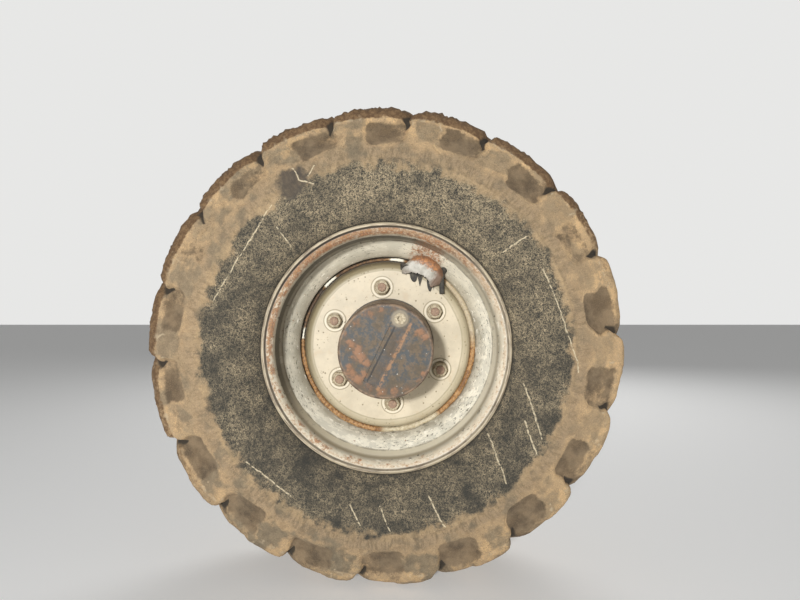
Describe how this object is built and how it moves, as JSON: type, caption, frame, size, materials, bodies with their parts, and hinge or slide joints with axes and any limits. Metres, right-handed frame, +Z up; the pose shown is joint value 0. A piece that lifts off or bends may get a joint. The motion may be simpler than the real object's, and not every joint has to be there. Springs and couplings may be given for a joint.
{
  "type": "site dumper wheel end",
  "caption": "Wheel end of a site dumper: worn traction tyre, bolted disc wheel, drum hub and valve guard, turning on a flanged axle arm.",
  "frame": {"origin": "centre of the axle arm's bolted face, where the arm fastens to the axle's centre housing", "axes": "+Y along the wheel's axis, inboard and out of the bolted face; the wheel's outer side looks along -Y; +Z up"},
  "size_m": [1.09, 0.6295, 1.09],
  "materials": {
    "tyre_rubber": "matte",
    "rim_paint": "satin",
    "disc_paint": "satin",
    "drum_paint": "matte",
    "nut_steel": "matte",
    "hub_iron": "matte",
    "axle_paint": "matte",
    "spindle_steel": "satin",
    "valve_rubber": "matte"
  },
  "bodies": {
    "axle_end": {"axle_arm": "axle_paint", "spindle": "spindle_steel", "spindle_bolts": "nut_steel"},
    "wheel": {"half_shaft": "spindle_steel", "hub": "hub_iron", "hub_seal": "valve_rubber", "hub_drum": "drum_paint", "oil_plug": "nut_steel", "wheel_stud_1": "nut_steel", "wheel_stud_2": "nut_steel", "wheel_stud_3": "nut_steel", "wheel_stud_4": "nut_steel", "wheel_stud_5": "nut_steel", "wheel_stud_6": "nut_steel", "nut_ring_1": "disc_paint", "nut_ring_2": "disc_paint", "nut_ring_3": "disc_paint", "nut_ring_4": "disc_paint", "nut_ring_5": "disc_paint", "nut_ring_6": "disc_paint", "wheel_nut_1": "nut_steel", "wheel_nut_2": "nut_steel", "wheel_nut_3": "nut_steel", "wheel_nut_4": "nut_steel", "wheel_nut_5": "nut_steel", "wheel_nut_6": "nut_steel", "wheel_disc": "disc_paint", "rim": "rim_paint", "rim_weld": "rim_paint", "valve_guard": "rim_paint", "valve_stem": "valve_rubber", "tyre": "tyre_rubber"}
  },
  "joints": [
    {"name": "wheel_spin", "type": "hinge", "parent": "axle_end", "child": "wheel", "pos_m": [0, -0.43, 0], "axis": [0, -1, 0], "continuous": true}
  ]
}
